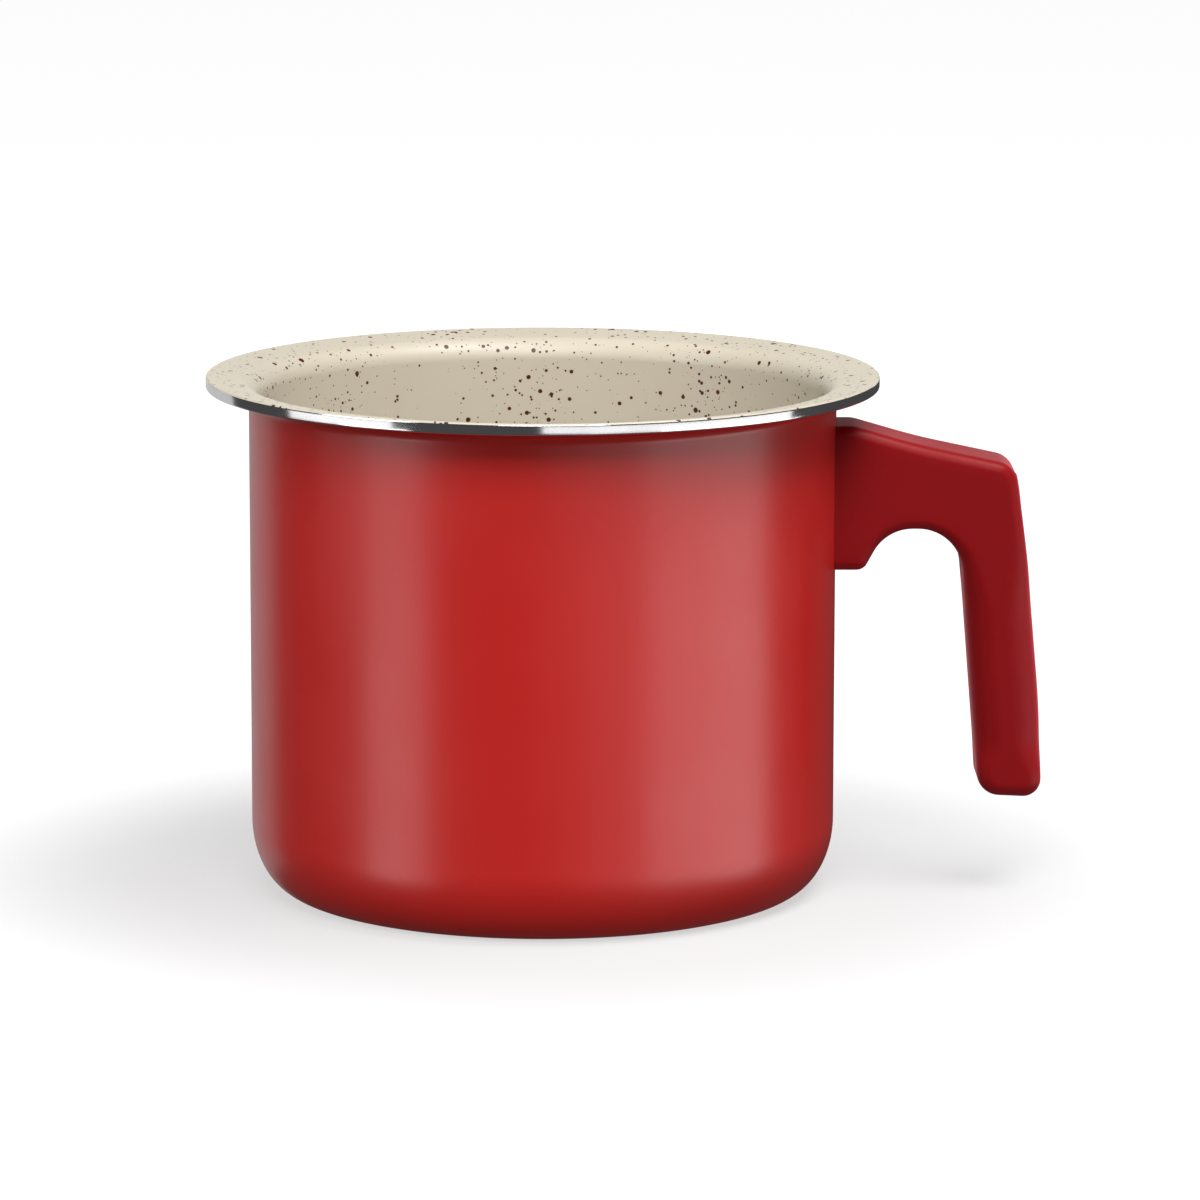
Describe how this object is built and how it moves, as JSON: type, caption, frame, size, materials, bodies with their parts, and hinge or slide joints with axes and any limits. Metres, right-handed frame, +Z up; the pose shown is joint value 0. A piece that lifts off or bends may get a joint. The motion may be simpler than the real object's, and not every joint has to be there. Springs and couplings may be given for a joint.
{
  "type": "milk pot",
  "caption": "Straight-sided milk pot with a wide flared pouring lip, coated inside and out, and an open-ended side handle.",
  "frame": {"origin": "centre of the flat base, on the pot axis, at the height the pot rests on", "axes": "+Z up along the pot axis, +X from the pot axis through the handle, +Y to the left when looking along +X"},
  "size_m": [0.2054, 0.165, 0.1277],
  "materials": {
    "bare_aluminium": "turned bright on the lip edge and base",
    "cream_nonstick": "satin cream non-stick with dark red-brown specks",
    "red_lacquer": "satin red lacquer",
    "red_soft_handle": "smooth satin red",
    "plated_steel": "zinc plated"
  },
  "bodies": {
    "root": {"pot_body": "bare_aluminium", "interior_coating": "cream_nonstick", "exterior_coating": "red_lacquer", "handle": "red_soft_handle", "handle_stud": "bare_aluminium", "handle_screw": "plated_steel", "flat_washer": "plated_steel", "spring_washer": "plated_steel", "screw_cap": "red_soft_handle"}
  },
  "joints": []
}
